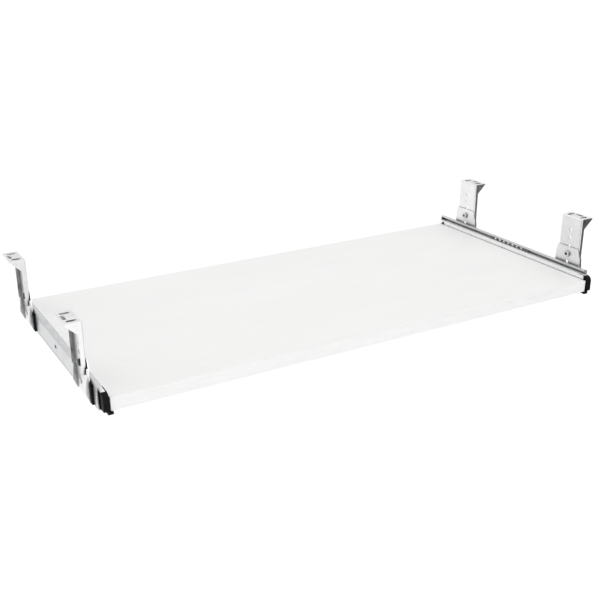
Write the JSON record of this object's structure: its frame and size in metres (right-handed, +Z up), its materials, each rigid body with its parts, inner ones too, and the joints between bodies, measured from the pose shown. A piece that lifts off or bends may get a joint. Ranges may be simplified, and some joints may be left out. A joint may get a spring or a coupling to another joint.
{
  "type": "under desk keyboard drawer",
  "caption": "White under-desk keyboard drawer: a flat tray board on ball bearing slides, hung from the desk by height adjustable steel brackets.",
  "frame": {"origin": "centre of the tray in plan, in the plane where the bracket tops meet the underside of the desk", "axes": "+X to the user's right along the tray's width, -Y towards the user (the drawer opens along -Y), +Z up towards the desk"},
  "size_m": [0.711, 0.3105, 0.0924],
  "materials": {
    "board": "white melamine faced chipboard, satin, faint grain along the width",
    "edge_band": "white edge banding, satin",
    "bracket_steel": "bright zinc plated steel, satin",
    "rail_steel": "zinc plated roll formed steel, fine lengthwise drawing marks",
    "cage_steel": "thin plated steel strip",
    "ball_steel": "polished bearing steel",
    "fastener_steel": "zinc plated fasteners",
    "screw_steel": "black oxide machine screws",
    "black_plastic": "black moulded plastic, fine texture",
    "bumper_rubber": "black rubber"
  },
  "bodies": {
    "desk_side": {"front_left_upper_bracket": "bracket_steel", "front_left_lower_bracket": "bracket_steel", "front_left_bracket_pad": "black_plastic", "front_right_upper_bracket": "bracket_steel", "front_right_lower_bracket": "bracket_steel", "front_right_bracket_pad": "black_plastic", "rear_left_upper_bracket": "bracket_steel", "rear_left_lower_bracket": "bracket_steel", "rear_left_bracket_pad": "black_plastic", "rear_right_upper_bracket": "bracket_steel", "rear_right_lower_bracket": "bracket_steel", "rear_right_bracket_pad": "black_plastic", "left_fixed_rail": "rail_steel", "left_rear_bumper": "bumper_rubber", "right_fixed_rail": "rail_steel", "right_rear_bumper": "bumper_rubber", "bracket_rivets": "fastener_steel", "cage_stop_pins": "fastener_steel", "height_screws": "screw_steel", "press_nuts": "fastener_steel"},
    "drawer": {"tray_board": "board", "front_edge_band": "edge_band", "rear_edge_band": "edge_band", "left_edge_band": "edge_band", "right_edge_band": "edge_band", "tray_screws": "fastener_steel", "drawer_member_rivets": "fastener_steel", "left_support_angle": "rail_steel", "left_drawer_member": "rail_steel", "left_end_cap": "black_plastic", "left_rear_stop_block": "black_plastic", "left_rear_plug": "black_plastic", "right_support_angle": "rail_steel", "right_drawer_member": "rail_steel", "right_end_cap": "black_plastic", "right_rear_stop_block": "black_plastic", "right_rear_plug": "black_plastic"},
    "left_cage": {"left_ball_cage": "cage_steel", "left_balls": "ball_steel"},
    "right_cage": {"right_ball_cage": "cage_steel", "right_balls": "ball_steel"}
  },
  "joints": [
    {"name": "drawer_slide", "type": "slide", "parent": "desk_side", "child": "drawer", "axis": [0, -1, 0], "range_m": [0, 0.2]},
    {"name": "left_cage_slide", "type": "slide", "parent": "desk_side", "child": "left_cage", "axis": [0, -1, 0], "range_m": [0, 0.1]},
    {"name": "right_cage_slide", "type": "slide", "parent": "desk_side", "child": "right_cage", "axis": [0, -1, 0], "range_m": [0, 0.1]}
  ],
  "couplings": [
    {"joint": "left_cage_slide", "follows": "drawer_slide", "ratio": 0.5},
    {"joint": "right_cage_slide", "follows": "drawer_slide", "ratio": 0.5}
  ]
}
